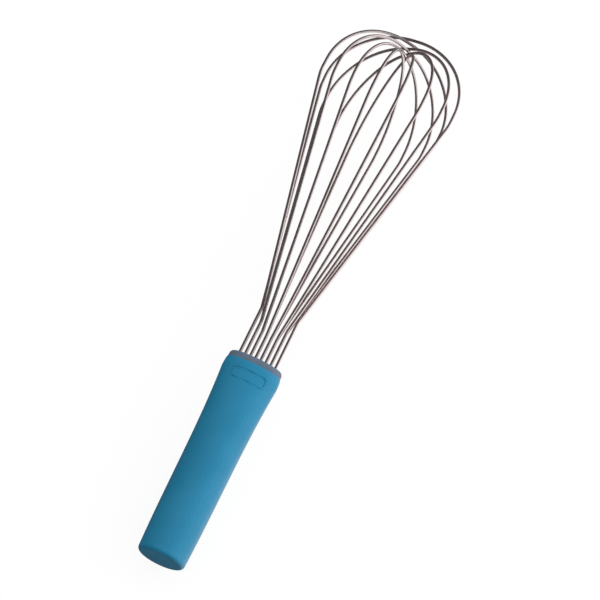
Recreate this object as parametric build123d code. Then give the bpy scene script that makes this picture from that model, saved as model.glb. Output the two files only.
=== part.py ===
from build123d import *
import math
import os

os.makedirs("parts", exist_ok=True)

# A balloon whisk in millimetres. It is built standing up, with its axis on Z, the handle's
# flat end at Z = 0 and its front on -Y, and then laid on its back on the floor.

# Driving dimensions: handle
handle_length = 120.5  # flat end to the rim of the mouth
end_half_width = 13.5
end_half_depth = 13.5
grip_height = 40.0  # where the narrow part of the grip is measured
grip_half_width = 14.4
grip_half_depth = 13.6
flare_drop = 32.5  # from the rim down to where the grip starts to flare into the flat head
flare_half_width = 15.2
flare_half_depth = 11.6
head_drop = 6.5  # from the rim down to the widest part of the flat head
head_half_width = 16.7
head_half_depth = 8.4
mouth_half_width = 16.0
mouth_half_depth = 6.9
wall = 2.0
mouth_wall = 1.2
head_steps = 4  # sections that round the head in to the mouth
end_wall = 5.0
end_edge_radius = 2.0

# Driving dimensions: bare raised border on the front of the head
border_drop = 8.5  # from the rim down to its middle
border_width = 19.6
border_length = 7.4
border_corner = 2.0
border_line = 0.8
border_rise = 0.45

# Driving dimensions: what closes the handle and holds the wires
seal_rise = 4.4  # above the rim
seal_depth = 6.0  # below the rim
seal_taper = 3.0  # degrees that its sides lean in above the rim
seal_edge_radius = 2.4
anchor_height = 68.0
anchor_thickness = 1.5
fit_clearance = 0.1
wire_clearance = 0.05

# Driving dimensions: wires
overall_length = 350.0
wire_diameter = 1.8
column_pitch = 3.1
row_spacing = 4.4
tail_overhang = 2.0  # below the anchor plate
leg_bend_above = 14.6  # from the seal's top up to where the two middle legs leave the bundle
leg_bend_rise = 0.135  # extra height of that bend, for each mm squared away from the middle
leg_bend_radius = 14.0
shoulder_radius = 30.0
shoulder_half_width = 41.2
crown_spread = 0.5  # the crown's outline is wider than the shoulders by this, before rounding
crown_flat = 2.4  # half width of the flat that the rounding leaves on top
crown_side = 8.2  # from the end of the crown's rounding down to the shoulders

# Each loop is bent by hand. How far its crown lies below the tip, the degrees it is turned off
# its even place, and how far its front and back shoulders stand out from their even place.
loops = {
    "wire_loop_1": (3.3, -5.0, 1.5, -2.0),
    "wire_loop_2": (8.2, -2.0, 0.0, 0.0),
    "wire_loop_3": (12.2, 1.5, -2.5, 0.5),
    "wire_loop_4": (17.0, 2.0, 2.0, -2.0),
    "wire_loop_5": (14.6, 2.5, -3.0, 1.5),
    "wire_loop_6": (10.2, 4.5, -1.0, 0.0),
    "wire_loop_7": (6.1, 6.0, 0.0, 0.5),
    "wire_loop_8": (0.0, 7.0, 0.5, -1.5),
}

# Values worked out from the driving dimensions
wire_radius = wire_diameter / 2
loop_count = len(loops)
even_turn = 180 / loop_count
columns = [(i - (loop_count - 1) / 2) * column_pitch for i in range(loop_count)]
flare_height = handle_length - flare_drop
head_height = handle_length - head_drop
border_height = handle_length - border_drop
seal_top = handle_length + seal_rise
leg_bend_height = seal_top + leg_bend_above
seal_bottom = handle_length - seal_depth
anchor_top = anchor_height + anchor_thickness
tip_height = overall_length - wire_radius
crown_corner = shoulder_half_width + crown_spread
crown_radius = crown_corner - crown_flat
shoulder_drop = crown_radius + crown_side  # from the crown of a loop down to its shoulders
support_span = tip_height - crown_radius  # from the flat end to the widest part of the loops


def oval(height, half_width, half_depth):
    return Plane.XY.offset(height) * Ellipse(half_width, half_depth)


def handle_form(inset, mouth_inset):
    """The handle's outer form, drawn in all round, by its own amount at the mouth.

    The grip flares smoothly up to the head, and the head then rounds in to the mouth along a
    quarter of an ellipse.
    """
    grip = [
        (0, end_half_width - inset, end_half_depth - inset),
        (grip_height, grip_half_width - inset, grip_half_depth - inset),
        (flare_height, flare_half_width - inset, flare_half_depth - inset),
        (head_height, head_half_width - inset, head_half_depth - inset),
    ]
    mouth = (mouth_half_width - mouth_inset, mouth_half_depth - mouth_inset)
    head = []
    for step in range(head_steps + 1):
        turn = math.radians(90 * step / head_steps)
        height = head_height + (handle_length - head_height) * math.sin(turn)
        half_width = mouth[0] + (grip[-1][1] - mouth[0]) * math.cos(turn)
        half_depth = mouth[1] + (grip[-1][2] - mouth[1]) * math.cos(turn)
        head.append((height, half_width, half_depth))
    return loft([oval(*section) for section in grip]) + loft([oval(*section) for section in head])


def slab(low, high):
    size = 4 * mouth_half_width
    return Pos(0, 0, low) * Box(size, size, high - low, align=(Align.CENTER, Align.CENTER, Align.MIN))


def wire_holes(low, high):
    """A hole for each wire end, in two rows, between two heights."""
    drill = Cylinder(wire_radius + wire_clearance, high - low, align=(Align.CENTER, Align.CENTER, Align.MIN))
    spots = [(x, y) for x in columns for y in (-row_spacing / 2, row_spacing / 2)]
    return [Pos(x, y, low) * drill for x, y in spots]


def make_border():
    """The raised outline on the front of the head, reaching a little into the wall."""
    face = Plane(origin=(0, 0, border_height), x_dir=(1, 0, 0), z_dir=(0, -1, 0))
    outer = RectangleRounded(border_width, border_length, border_corner)
    inner = RectangleRounded(
        border_width - 2 * border_line, border_length - 2 * border_line, border_corner - border_line
    )
    prism = extrude(face * (outer - inner), 2 * mouth_half_width)
    return prism & (handle_form(-border_rise, -border_rise) - handle_form(border_rise, border_rise))


def make_handle():
    shell = handle_form(0, 0)
    shell = fillet(shell.edges().sort_by(Axis.Z)[0], end_edge_radius)
    cavity = handle_form(wall, mouth_wall) & slab(end_wall, handle_length)
    return shell - cavity + make_border()


def cavity_piece(low, high):
    """A solid that fills the handle's cavity between two heights, with its fit clearance."""
    return handle_form(wall + fit_clearance, mouth_wall + fit_clearance) & slab(low, high)


def make_seal():
    cap = extrude(oval(handle_length, mouth_half_width, mouth_half_depth), seal_rise, taper=seal_taper)
    cap = fillet(cap.edges().group_by(Axis.Z)[-1], seal_edge_radius)
    seal = cavity_piece(seal_bottom, handle_length) + cap
    return seal - wire_holes(seal_bottom, seal_top)


def make_core():
    return cavity_piece(anchor_top, seal_bottom) - wire_holes(anchor_top, seal_bottom)


def make_anchor():
    return cavity_piece(anchor_height, anchor_top) - wire_holes(anchor_height, anchor_top)


def leg_corners(side, column, azimuth, crown_height, swell):
    """The corners of one half of a loop, from its tail up to the top of its crown."""
    x = side * columns[column]
    y = side * -row_spacing / 2
    across = Vector(math.cos(azimuth), -math.sin(azimuth), 0) * side
    bend_height = leg_bend_height + leg_bend_rise * x * x
    return [
        Vector(x, y, anchor_height - tail_overhang),
        Vector(x, y, bend_height),
        across * (shoulder_half_width + swell) + Vector(0, 0, crown_height - shoulder_drop),
        across * crown_corner + Vector(0, 0, crown_height),
    ]


def make_loop(index, crown_drop, turn, front_swell, back_swell):
    azimuth = math.radians(180 - (index + 0.5) * even_turn + turn)
    crown_height = tip_height - crown_drop
    front = leg_corners(1, index, azimuth, crown_height, front_swell)
    back = leg_corners(-1, index, azimuth, crown_height, back_swell)
    radii = [leg_bend_radius, shoulder_radius, crown_radius]
    path = FilletPolyline(*front, *reversed(back), radius=radii + radii[::-1])
    return sweep(Plane(front[0]) * Circle(wire_radius), path=path)


parts = {
    "handle": make_handle(),
    "collar_seal": make_seal(),
    "resin_core": make_core(),
    "anchor_plate": make_anchor(),
}
for index, (name, bends) in enumerate(loops.items()):
    parts[name] = make_loop(index, *bends)


def lay_down(part, lean):
    """The part turned from standing to lying on its back, with the loops' end raised by lean."""
    return Rot(lean - 90, 0, 0) * part


def lean_on_floor():
    """The lean at which the handle's flat end and the lowest loops both touch the floor."""
    lean = 0.0
    for _ in range(4):
        grip_low = lay_down(parts["handle"], lean).bounding_box().min.Z
        laid = [lay_down(parts[name], lean).bounding_box() for name in loops]
        lowest = min(laid, key=lambda box: box.min.Z)
        lean += math.degrees(math.atan2(grip_low - lowest.min.Z, support_span))
    return lean


lean = lean_on_floor()
laid_parts = {name: lay_down(part, lean) for name, part in parts.items()}
whole = Compound(list(laid_parts.values())).bounding_box()
shift = Pos(-whole.center().X, -whole.center().Y, -whole.min.Z)
print("lean", round(lean, 4), "shift", shift.position, "size", whole.size)

for name, part in laid_parts.items():
    export_step(shift * part, f"parts/{name}.step")
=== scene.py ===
import math

import bpy
import numpy as np
from mathutils import Matrix, Vector


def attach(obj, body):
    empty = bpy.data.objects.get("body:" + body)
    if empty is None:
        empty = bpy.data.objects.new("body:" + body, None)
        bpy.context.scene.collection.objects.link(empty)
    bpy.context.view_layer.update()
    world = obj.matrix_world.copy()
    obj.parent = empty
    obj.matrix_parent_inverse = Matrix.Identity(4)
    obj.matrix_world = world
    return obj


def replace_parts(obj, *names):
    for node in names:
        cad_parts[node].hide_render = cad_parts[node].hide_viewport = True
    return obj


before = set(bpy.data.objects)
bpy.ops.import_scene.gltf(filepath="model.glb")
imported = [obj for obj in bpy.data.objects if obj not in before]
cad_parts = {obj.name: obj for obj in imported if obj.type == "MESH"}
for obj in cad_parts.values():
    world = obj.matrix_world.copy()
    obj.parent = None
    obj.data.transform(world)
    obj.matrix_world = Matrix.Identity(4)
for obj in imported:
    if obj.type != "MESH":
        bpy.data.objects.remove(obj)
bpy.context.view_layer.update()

# Sizes are in millimetres. Every piece is drawn standing, with its axis on Z, the handle's flat
# end at Z = 0 and its front on -Y, and is then laid on its back on the floor.


# Node trees.
class Socket:
    # A node's output that takes Python arithmetic, so shader maths reads as a formula.
    def __init__(self, tree, output):
        self.tree = tree
        self.output = output

    def calc(self, operation, *values):
        return addNode(self.tree, "ShaderNodeMath", {"operation": operation}, dict(enumerate(values)))

    def __add__(self, other):
        return self.calc("ADD", self, other)

    def __radd__(self, other):
        return self.calc("ADD", other, self)

    def __rsub__(self, other):
        return self.calc("SUBTRACT", other, self)

    def __mul__(self, other):
        return self.calc("MULTIPLY", self, other)

    def __rmul__(self, other):
        return self.calc("MULTIPLY", other, self)

    def ramp(self, low, high, start=0.0, end=1.0):
        settings = {"interpolation_type": "SMOOTHSTEP"}
        values = {"Value": self, "From Min": low, "From Max": high, "To Min": start, "To Max": end}
        return addNode(self.tree, "ShaderNodeMapRange", settings, values)


def addNode(tree, kind, settings=None, values=None, output=0):
    made = tree.nodes.new(kind)
    for key, value in (settings or {}).items():
        setattr(made, key, value)
    for key, value in (values or {}).items():
        if isinstance(value, Socket):
            tree.links.new(value.output, made.inputs[key])
        else:
            made.inputs[key].default_value = value
    return Socket(tree, made.outputs[output]) if made.outputs else None


def mixColours(tree, factor, first, second):
    settings = {"data_type": "RGBA"}
    return addNode(tree, "ShaderNodeMix", settings, {0: factor, 6: first, 7: second}, 2)


def noise(tree, scale, detail=2.0):
    place = addNode(tree, "ShaderNodeTexCoord", output="Object")
    return addNode(tree, "ShaderNodeTexNoise", values={"Vector": place, "Scale": scale, "Detail": detail})


def newMaterial(name, look):
    material = bpy.data.materials.new(name)
    material.use_nodes = True
    tree = material.node_tree
    tree.nodes.clear()
    surface = addNode(tree, "ShaderNodeBsdfPrincipled", values=look(tree))
    addNode(tree, "ShaderNodeOutputMaterial", values={"Surface": surface})
    return material


# Meshes.
def newPiece(name, vertices, faces, material, sharpAngle=40, heights=None):
    # Turns the faces outwards when the enclosed volume comes out negative.
    corners = np.array([face[:3] for face in faces])
    a, b, c = (vertices[corners[:, k]] for k in range(3))
    fans = np.array([(f[0], f[2], f[3]) for f in faces if len(f) == 4])
    d, e, g = (vertices[fans[:, k]] for k in range(3))
    volume = np.sum(a * np.cross(b, c)) + np.sum(d * np.cross(e, g))
    if volume < 0:
        faces = [face[::-1] for face in faces]
    mesh = bpy.data.meshes.new(name)
    mesh.from_pydata(vertices.tolist(), [], faces)
    mesh.shade_smooth()
    mesh.set_sharp_from_angle(angle=math.radians(sharpAngle))
    if heights is not None:
        mesh.attributes.new("height", "FLOAT", "POINT").data.foreach_set("value", heights)
    mesh.materials.append(material)
    made = bpy.data.objects.new(name, mesh)
    bpy.context.scene.collection.objects.link(made)
    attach(made, "root")
    return made


def ringFaces(rings, around, closed=False):
    # Quads between neighbouring rings of vertices, and between the last ring and the first.
    ring = np.arange(rings if closed else rings - 1)[:, None]
    spoke = np.arange(around)[None, :]
    following, beside = (ring + 1) % rings, (spoke + 1) % around
    quads = [ring * around + spoke, ring * around + beside, following * around + beside,
             following * around + spoke]
    return np.stack(np.broadcast_arrays(*quads), axis=-1).reshape(-1, 4).tolist()


def skin(grid):
    # A closed skin over a grid of rings. Each end ring is closed by a fan to its own middle.
    rings, around = grid.shape[:2]
    vertices = np.concatenate([grid.reshape(-1, 3), grid[0].mean(0)[None], grid[-1].mean(0)[None]])
    here = np.arange(around)
    beside = (here + 1) % around
    count = rings * around
    first = np.stack([beside, here, np.full(around, count)], axis=-1)
    top = count - around
    last = np.stack([top + here, top + beside, np.full(around, count + 1)], axis=-1)
    return vertices, ringFaces(rings, around) + first.tolist() + last.tolist()


def ovalRings(heights, halfWidths, halfDepths, around=128):
    # Each ring is an ellipse: (half width * cos, half depth * sin, height).
    angle = np.linspace(0, 2 * np.pi, around, endpoint=False)
    x = np.outer(halfWidths, np.cos(angle))
    y = np.outer(halfDepths, np.sin(angle))
    z = np.outer(heights, np.ones(around))
    return np.stack([x, y, z], axis=-1)


def unit(vectors):
    return vectors / np.linalg.norm(vectors, axis=-1, keepdims=True)


# Handle.
handle = {
    "length": 120.5,
    "heights": (0, 40, 88, 114),
    "halfWidths": (13.5, 14.4, 15.2, 16.7),
    "halfDepths": (13.5, 13.6, 11.6, 8.4),
    "mouth": (16.0, 6.9),
    "wall": 2.0,
    "mouthWall": 1.2,
    "endWall": 5.0,
    "endRadius": 2.0,
    "sideStart": 2.4,
    "faceMiddle": 0.15,
    "faceRings": 5,
    "edgeSteps": 12,
    "sideSteps": 100,
    "cavitySteps": 40,
}


def outline(heights, inset=0.0, mouthInset=0.0):
    # Half width and half depth at each height: a cubic through the four sections up to the head,
    # and from there a quarter of an ellipse in to the mouth.
    top = handle["heights"][-1]
    rise = np.clip((heights - top) / (handle["length"] - top), 0, 1)
    below = np.minimum(heights, top)
    halves = []
    for sections, mouth in zip((handle["halfWidths"], handle["halfDepths"]), handle["mouth"]):
        grip = np.polyval(np.polyfit(handle["heights"], sections, 3), below) - inset
        rim = mouth - mouthInset
        halves.append(np.where(heights > top, rim + (grip - rim) * np.sqrt(1 - rise**2), grip))
    return halves


def headHeights(steps, lowest):
    # Heights up the head's rounding, evenly spaced in angle, from the given height.
    top = handle["heights"][-1]
    turns = np.linspace(0, np.pi / 2, steps)
    rounding = top + (handle["length"] - top) * np.sin(turns)
    return np.concatenate([np.linspace(lowest, top, steps, endpoint=False), rounding])


def handleShell():
    # Outer skin: flat end, its rounded edge, side and head. Inner skin: cavity down to its floor.
    radius = handle["endRadius"]
    turn = np.linspace(0, np.pi / 2, handle["edgeSteps"])
    edgeHeights = radius * (1 - np.cos(turn))
    edge = [half - radius * (1 - np.sin(turn)) for half in outline(edgeHeights)]
    rings = handle["faceRings"]
    shares = np.linspace(handle["faceMiddle"], 1, rings + 1)[:-1]
    face = [shares * half[0] for half in edge]
    side = headHeights(handle["sideSteps"], handle["sideStart"])
    cavity = headHeights(handle["cavitySteps"], handle["endWall"])[::-1]
    heights = np.concatenate([np.zeros(rings), edgeHeights, side, cavity])
    inner = outline(cavity, handle["wall"], handle["mouthWall"])
    halves = [np.concatenate(parts) for parts in zip(face, edge, outline(side), inner)]
    return skin(ovalRings(heights, *halves))


# Raised border on the front of the head, bare inside.
border = {
    "height": 112.0,
    "width": 19.6,
    "length": 7.4,
    "corner": 2.0,
    "line": 0.8,
    "rise": 0.45,
    "cornerSteps": 12,
    "around": 20,
}


def borderRidge():
    # The middle line is a rounded rectangle laid on the head's front. Its section is a low
    # half round that reaches a little under the surface.
    line = border["line"]
    corner = border["corner"] - line / 2
    reach = np.array([border["width"] - line, border["length"] - line]) / 2 - corner
    quarter = np.linspace(0, np.pi / 2, border["cornerSteps"])
    turns = np.concatenate([quarter + k * np.pi / 2 for k in range(4)])
    signs = np.repeat([(1, 1), (-1, 1), (-1, -1), (1, -1)], len(quarter), axis=0)
    flat = signs * reach + corner * np.stack([np.cos(turns), np.sin(turns)], axis=-1)
    nextFlat = np.roll(flat, -1, axis=0)
    flat = np.concatenate([flat[:, None], (flat + nextFlat)[:, None] / 2], axis=1).reshape(-1, 2)

    def onFront(points):
        halfWidth, halfDepth = outline(border["height"] + points[:, 1])
        y = -halfDepth * np.sqrt(1 - (points[:, 0] / halfWidth) ** 2)
        return np.column_stack([points[:, 0], y, border["height"] + points[:, 1]])

    middle = onFront(flat)
    step = 0.05  # how far apart the surface is felt to find its normal
    normal = unit(np.cross(onFront(flat + (step, 0)) - middle, onFront(flat + (0, step)) - middle))
    along = unit(np.roll(middle, -1, axis=0) - np.roll(middle, 1, axis=0))
    across = np.cross(along, normal)
    angle = np.linspace(0, 2 * np.pi, border["around"], endpoint=False)
    sideways = (line / 2 * np.cos(angle))[None, :, None] * across[:, None]
    outwards = (border["rise"] * np.sin(angle))[None, :, None] * normal[:, None]
    grid = middle[:, None] + sideways + outwards
    return grid.reshape(-1, 3), ringFaces(len(middle), len(angle), closed=True)


# Collar seal.
seal = {
    "rise": 4.4,
    "depth": 6.0,
    "lean": 3.0,
    "edge": 2.4,
    "clearance": 0.1,
    "flatMiddle": 0.1,
    "flatRings": 5,
    "bandRings": 5,
    "edgeSteps": 14,
    "plugRings": 8,
}


def sealCap():
    # A plug in the mouth, then a band that leans in and rounds over to a flat top.
    lean = math.radians(seal["lean"])
    edge = seal["edge"]
    length = handle["length"]
    plug = headHeights(seal["plugRings"], length - seal["depth"])[seal["plugRings"]:]
    plug = np.maximum(plug, length - seal["depth"])
    gap = seal["clearance"]
    inner = outline(plug, handle["wall"] + gap, handle["mouthWall"] + gap)
    turn = np.linspace(lean, np.pi / 2, seal["edgeSteps"])
    straight = seal["rise"] - edge + edge * math.sin(lean)
    climb = np.linspace(0, straight, seal["bandRings"] + 1)[:-1]
    flat = np.linspace(1, seal["flatMiddle"], seal["flatRings"] + 1)[1:]
    rounding = length + seal["rise"] - edge + edge * np.sin(turn)
    top = np.full(seal["flatRings"], length + seal["rise"])
    heights = np.concatenate([plug, length + climb, rounding, top])
    halves = []
    for part, mouth in zip(inner, handle["mouth"]):
        band = mouth - climb * math.tan(lean)
        middle = mouth - (seal["rise"] - edge) * math.tan(lean) - edge / math.cos(lean)
        halves.append(np.concatenate([part, band, middle + edge * np.cos(turn), middle * flat]))
    return skin(ovalRings(heights, *halves))


# Wire loops.
wires = {
    "overall": 350.0,
    "diameter": 1.8,
    "pitch": 3.1,
    "rowSpacing": 4.4,
    "tailHeight": 66.0,
    "bendHeight": 139.5,
    "bendRise": 0.135,
    "radii": (14.0, 30.0, 39.3),
    "shoulderHalfWidth": 41.2,
    "shoulderDrop": 47.5,
    "crownCorner": 41.7,
    "around": 32,
    "steps": (14, 30, 44),
}
wires["tip"] = wires["overall"] - wires["diameter"] / 2

# Crown drop below the tip, degrees off the even place, and how far the front and back shoulders
# stand out from their even place.
loopBends = (
    (3.3, -5.0, 1.5, -2.0),
    (8.2, -2.0, 0.0, 0.0),
    (12.2, 1.5, -2.5, 0.5),
    (17.0, 2.0, 2.0, -2.0),
    (14.6, 2.5, -3.0, 1.5),
    (10.2, 4.5, -1.0, 0.0),
    (6.1, 6.0, 0.0, 0.5),
    (0.0, 7.0, 0.5, -1.5),
)


def roundedPath(corners, radii, steps):
    # Each inner corner becomes an arc that touches both of its legs. At an angle s along an arc
    # the point is middle + radius * (cos s * start + sin s * leg), so its direction is known too.
    legs = unit(np.diff(corners, axis=0))
    points, directions = [corners[:1]], [legs[:1]]
    for corner, before, after, radius, count in zip(corners[1:-1], legs, legs[1:], radii, steps):
        turn = math.acos(float(before @ after))
        middle = corner + unit(after - before) * radius / math.cos(turn / 2)
        start = (corner - before * radius * math.tan(turn / 2) - middle) / radius
        s = np.linspace(0, turn, count)[:, None]
        points.append(middle + radius * (np.cos(s) * start + np.sin(s) * before))
        directions.append(np.cos(s) * before - np.sin(s) * start)
    points.append(corners[-1:])
    directions.append(legs[-1:])
    return np.concatenate(points), np.concatenate(directions)


def wireLoop(index, crownDrop, turn, frontSwell, backSwell):
    # Two legs rise from the handle, bend outwards, and meet over a rounded crown.
    count = len(loopBends)
    azimuth = math.radians(180 - (index + 0.5) * 180 / count + turn)
    crown = wires["tip"] - crownDrop
    x = (index - (count - 1) / 2) * wires["pitch"]
    y = -wires["rowSpacing"] / 2
    bend = wires["bendHeight"] + wires["bendRise"] * x * x
    across = np.array([math.cos(azimuth), -math.sin(azimuth), 0])
    up = np.array([0, 0, 1.0])
    legs = []
    for side, swell in ((1, frontSwell), (-1, backSwell)):
        shoulder = side * across * (wires["shoulderHalfWidth"] + swell) + up * (crown - wires["shoulderDrop"])
        top = side * across * wires["crownCorner"] + up * crown
        tail = (side * x, side * y, wires["tailHeight"])
        legs.append(np.array([tail, (side * x, side * y, bend), shoulder, top]))
    corners = np.concatenate([legs[0], legs[1][::-1]])
    radii = wires["radii"] + wires["radii"][::-1]
    steps = wires["steps"] + wires["steps"][::-1]
    points, directions = roundedPath(corners, radii, steps)
    flat = np.cross(across, up)
    first = unit(flat - directions * (directions @ flat)[:, None])
    second = np.cross(directions, first)
    angle = np.linspace(0, 2 * np.pi, wires["around"], endpoint=False)[None, :, None]
    radius = wires["diameter"] / 2
    return skin(points[:, None] + radius * (np.cos(angle) * first[:, None] + np.sin(angle) * second[:, None]))


# Laying the whisk down.
def layDown(points, lean):
    # Turned about X by the lean less a quarter turn.
    turn = lean - math.pi / 2
    x, y, z = points.T
    return np.column_stack([
        x, y * math.cos(turn) - z * math.sin(turn), y * math.sin(turn) + z * math.cos(turn)
    ])


shapes = {"handleBody": handleShell(), "headBorder": borderRidge(), "collar": sealCap()}
for index, bends in enumerate(loopBends):
    shapes[f"wire{index + 1}"] = wireLoop(index, *bends)

# The lean at which the handle's flat end and the lowest loops both touch the floor.
lean = 0.0
wirePoints = np.concatenate([shape[0] for name, shape in shapes.items() if name.startswith("wire")])
for _ in range(4):
    gripLow = layDown(shapes["handleBody"][0], lean)[:, 2].min()
    loopLow = layDown(wirePoints, lean)[:, 2].min()
    lean += math.atan2(gripLow - loopLow, wires["tip"] - wires["radii"][-1])
everyPoint = layDown(np.concatenate([shape[0] for shape in shapes.values()]), lean)
low, high = everyPoint.min(0), everyPoint.max(0)
shift = -np.array([(low[0] + high[0]) / 2, (low[1] + high[1]) / 2, low[2]])
print("lean", math.degrees(lean), "shift", shift)


# Materials.
plastic = {
    "main": (0.005, 0.195, 0.352, 1),
    "worn": (0.008, 0.208, 0.372, 1),
    "patchSize": 45,
    "grainSize": 1000,
    "grainDetail": 3.0,
    "grainStrength": 0.8,
    "grainDepth": 0.0003,
    "smoothFrom": 96,
    "smoothTo": 118,
    "smoothGrain": 0.25,
    "roughness": 0.29,
    "grainRoughness": 0.07,
    "patchRoughness": 0.05,
    "ior": 1.42,
}
slate = {
    "main": (0.088, 0.133, 0.195, 1),
    "pale": (0.105, 0.153, 0.22, 1),
    "patchSize": 120,
    "grainSize": 900,
    "grainStrength": 0.12,
    "grainDepth": 0.0002,
    "roughness": 0.42,
    "patchRoughness": 0.08,
}
steel = {
    "main": (0.67, 0.575, 0.57, 1),
    "dull": (0.58, 0.5, 0.495, 1),
    "patchSize": 260,
    "roughness": 0.16,
    "patchRoughness": 0.1,
}
patchFrom, patchTo = 0.35, 0.7


def patchColour(tree, patches, first, second):
    return mixColours(tree, patches.ramp(patchFrom, patchTo), first, second)


def plasticLook(tree):
    # Fine moulded grain that fades out towards the head's smooth top.
    height = addNode(tree, "ShaderNodeAttribute", {"attribute_name": "height"}, output="Fac")
    grainy = height.ramp(plastic["smoothFrom"], plastic["smoothTo"], 1.0, plastic["smoothGrain"])
    grain = noise(tree, plastic["grainSize"], plastic["grainDetail"])
    patches = noise(tree, plastic["patchSize"], 3.0)
    bump = addNode(tree, "ShaderNodeBump", values={
        "Height": grain * grainy, "Strength": plastic["grainStrength"], "Distance": plastic["grainDepth"]})
    coarse = plastic["roughness"] + grainy * plastic["grainRoughness"]
    return {
        "Base Color": patchColour(tree, patches, plastic["main"], plastic["worn"]),
        "Roughness": coarse + patches * plastic["patchRoughness"],
        "Normal": bump,
        "IOR": plastic["ior"],
    }


def slateLook(tree):
    patches = noise(tree, slate["patchSize"])
    grain = noise(tree, slate["grainSize"])
    bump = addNode(tree, "ShaderNodeBump", values={
        "Height": grain, "Strength": slate["grainStrength"], "Distance": slate["grainDepth"]})
    return {
        "Base Color": patchColour(tree, patches, slate["main"], slate["pale"]),
        "Roughness": slate["roughness"] + patches * slate["patchRoughness"],
        "Normal": bump,
    }


def steelLook(tree):
    patches = noise(tree, steel["patchSize"], 3.0)
    return {
        "Base Color": patchColour(tree, patches, steel["main"], steel["dull"]),
        "Metallic": 1.0,
        "Roughness": steel["roughness"] + patches * steel["patchRoughness"],
    }


handlePlastic = newMaterial("handlePlastic", plasticLook)
sealPlastic = newMaterial("sealPlastic", slateLook)
wireSteel = newMaterial("wireSteel", steelLook)
coreResin = newMaterial("coreResin", lambda tree: {
    "Base Color": (0.55, 0.42, 0.2, 1), "Roughness": 0.35})
anchorSteel = newMaterial("anchorSteel", lambda tree: {
    "Base Color": (0.5, 0.5, 0.5, 1), "Metallic": 1.0, "Roughness": 0.35})
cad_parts["resin_core"].material_slots[0].material = coreResin
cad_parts["anchor_plate"].material_slots[0].material = anchorSteel


def place(name, material, slot, sharpAngle=40, withHeights=False):
    vertices, faces = shapes[name]
    laid = (layDown(vertices, lean) + shift) / 1000
    heights = vertices[:, 2] if withHeights else None
    return newPiece(name, laid, faces, material, sharpAngle, heights)


body = place("handleBody", handlePlastic, "handle_plastic", sharpAngle=30, withHeights=True)
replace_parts(body, "handle")
place("headBorder", handlePlastic, "handle_plastic", sharpAngle=60, withHeights=True)
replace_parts(place("collar", sealPlastic, "seal_plastic"), "collar_seal")
for index in range(len(loopBends)):
    wire = place(f"wire{index + 1}", wireSteel, "wire_steel")
    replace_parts(wire, f"wire_loop_{index + 1}")
print("pieces built")


# Floor.
floorLook = {"size": 30.0, "paper": 0.4, "share": 0.8, "seen": 1.15}


def newFloor():
    # Paper for diffuse light, mostly a white glow where the camera looks, and clear to
    # reflections, which see the room instead.
    half = floorLook["size"] / 2
    mesh = bpy.data.meshes.new("floor")
    corners = [(-half, -half, 0), (half, -half, 0), (half, half, 0), (-half, half, 0)]
    mesh.from_pydata(corners, [], [(0, 1, 2, 3)])
    material = bpy.data.materials.new("floorWhite")
    material.use_nodes = True
    tree = material.node_tree
    tree.nodes.clear()
    seen = addNode(tree, "ShaderNodeLightPath", output="Is Camera Ray")
    glossy = addNode(tree, "ShaderNodeLightPath", output="Is Glossy Ray")
    grey = floorLook["paper"]
    paper = addNode(tree, "ShaderNodeBsdfDiffuse", values={"Color": (grey, grey, grey, 1)})
    glow = addNode(tree, "ShaderNodeEmission", values={
        "Color": (1, 1, 1, 1), "Strength": floorLook["seen"]})
    lit = addNode(tree, "ShaderNodeMixShader", values={0: seen * floorLook["share"], 1: paper, 2: glow})
    clear = addNode(tree, "ShaderNodeBsdfTransparent")
    mixed = addNode(tree, "ShaderNodeMixShader", values={0: glossy, 1: lit, 2: clear})
    addNode(tree, "ShaderNodeOutputMaterial", values={"Surface": mixed})
    mesh.materials.append(material)
    made = bpy.data.objects.new("floor", mesh)
    bpy.context.scene.collection.objects.link(made)
    return made


newFloor()


# Light.
# Diffuse light comes mostly from above and from the tip's right. Reflections see a dark room
# with one bright side.
sky = {"towards": (0.36, 0.62, 0.7), "from": -0.45, "to": 0.85, "dark": 0.28, "bright": 1.25}
room = {"towards": (0.96, 0.13, -0.2), "from": 0.15, "to": 0.85, "dark": 0.11, "bright": 1.35}
lamps = {"keyLamp": {"from": (0.81, 0.33, 0.46), "distance": 1.3, "size": 0.7, "power": 6.0}}


def glowAlong(tree, direction, look):
    # Grows smoothly from dark to bright with the cosine of the angle to the look's direction.
    towards = tuple(unit(np.array(look["towards"])))
    cosine = addNode(tree, "ShaderNodeVectorMath", {"operation": "DOT_PRODUCT"},
                     {0: direction, 1: towards}, "Value")
    return cosine.ramp(look["from"], look["to"], look["dark"], look["bright"])


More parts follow.
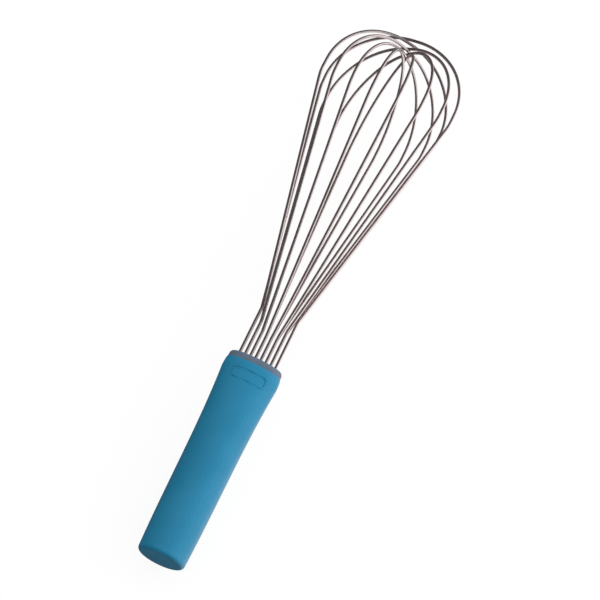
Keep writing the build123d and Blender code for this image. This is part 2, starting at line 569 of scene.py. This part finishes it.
def newWorld():
    world = bpy.data.worlds.new("studio")
    bpy.context.scene.world = world
    world.use_nodes = True
    world.cycles.sampling_method = "NONE"  # so that reflections see only the room
    tree = world.node_tree
    tree.nodes.clear()
    camera = addNode(tree, "ShaderNodeLightPath", output="Is Camera Ray")
    glossy = addNode(tree, "ShaderNodeLightPath", output="Is Glossy Ray")
    direction = addNode(tree, "ShaderNodeTexCoord", output="Generated")
    level = glossy * glowAlong(tree, direction, room) + (1 - glossy) * glowAlong(tree, direction, sky)
    strength = camera + (1 - camera) * level
    background = addNode(tree, "ShaderNodeBackground", values={"Color": (1, 1, 1, 1), "Strength": strength})
    addNode(tree, "ShaderNodeOutputWorld", values={"Surface": background})


def newLamp(name, lamp):
    data = bpy.data.lights.new(name, "AREA")
    data.size = lamp["size"]
    data.energy = lamp["power"]
    made = bpy.data.objects.new(name, data)
    towards = Vector(lamp["from"]).normalized()
    made.location = towards * lamp["distance"]
    made.rotation_euler = towards.to_track_quat("Z", "Y").to_euler()
    made.visible_glossy = False  # reflections see the room instead
    bpy.context.scene.collection.objects.link(made)


newWorld()
for name, lamp in lamps.items():
    newLamp(name, lamp)


# Camera.
# The handle's flat end lies this far right of and below the middle of the view, and this far
# ahead of the camera. The whisk leans away from the view by the tilt and turns by the roll.
camera = {
    "right": -74.48,
    "below": 138.04,
    "ahead": 1200.0,
    "tilt": 22.0,
    "roll": 26.01,
    "lens": 135.288,
    "sensor": 36,
}


def newCamera():
    tilt, roll = math.radians(camera["tilt"]), math.radians(camera["roll"])
    right = np.array([math.cos(roll), -math.sin(roll) * math.sin(tilt), math.sin(roll) * math.cos(tilt)])
    below = np.array([math.sin(roll), math.cos(roll) * math.sin(tilt), -math.cos(roll) * math.cos(tilt)])
    ahead = np.array([0, math.cos(tilt), math.sin(tilt)])
    seat = -(right * camera["right"] + below * camera["below"] + ahead * camera["ahead"])
    axes = layDown(np.array([right, -below, -ahead]), lean)
    spot = (layDown(seat[None], lean)[0] + shift) / 1000
    data = bpy.data.cameras.new("camera")
    data.sensor_width = camera["sensor"]
    data.lens = camera["lens"]
    made = bpy.data.objects.new("camera", data)
    made.matrix_world = Matrix.Translation(Vector(spot)) @ Matrix(axes.T.tolist()).to_4x4()
    bpy.context.scene.collection.objects.link(made)
    bpy.context.scene.camera = made


newCamera()
bpy.context.scene.view_settings.view_transform = "Standard"
